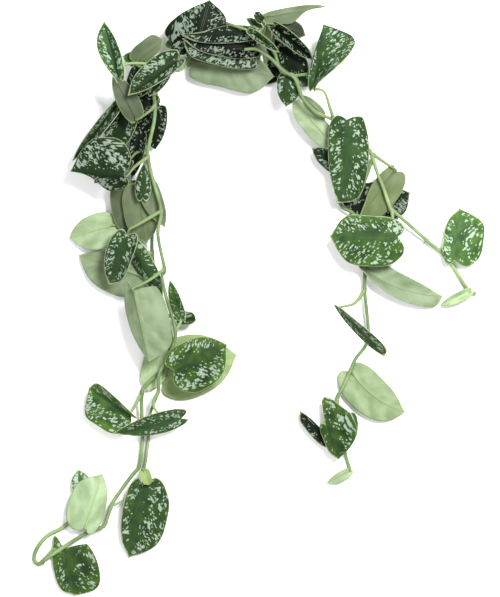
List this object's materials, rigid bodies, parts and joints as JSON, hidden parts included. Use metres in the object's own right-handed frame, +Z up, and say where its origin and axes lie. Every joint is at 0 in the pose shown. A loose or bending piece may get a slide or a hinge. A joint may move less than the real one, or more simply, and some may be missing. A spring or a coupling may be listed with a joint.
{
  "type": "trailing satin pothos stems",
  "caption": "Cut trailing stems of a satin pothos laid flat in an arch, with heart-shaped silver-splashed leaves on stalks and pale leaf undersides.",
  "frame": {"origin": "centre of the overall box on the surface the stems lie on", "axes": "+Y from the free ends up to the top of the arch, +X to the right as seen from above, +Z up from the surface"},
  "size_m": [0.4536, 0.5968, 0.0747],
  "materials": {
    "leaf": "satin, dark green with silver splashes above and pale green beneath"
  },
  "bodies": {
    "root": {"left_front_vine": "leaf", "left_back_vine": "leaf", "left_short_vine": "leaf", "crown_vine": "leaf", "crown_right_vine": "leaf", "right_front_vine": "leaf", "right_back_vine": "leaf"}
  },
  "joints": []
}
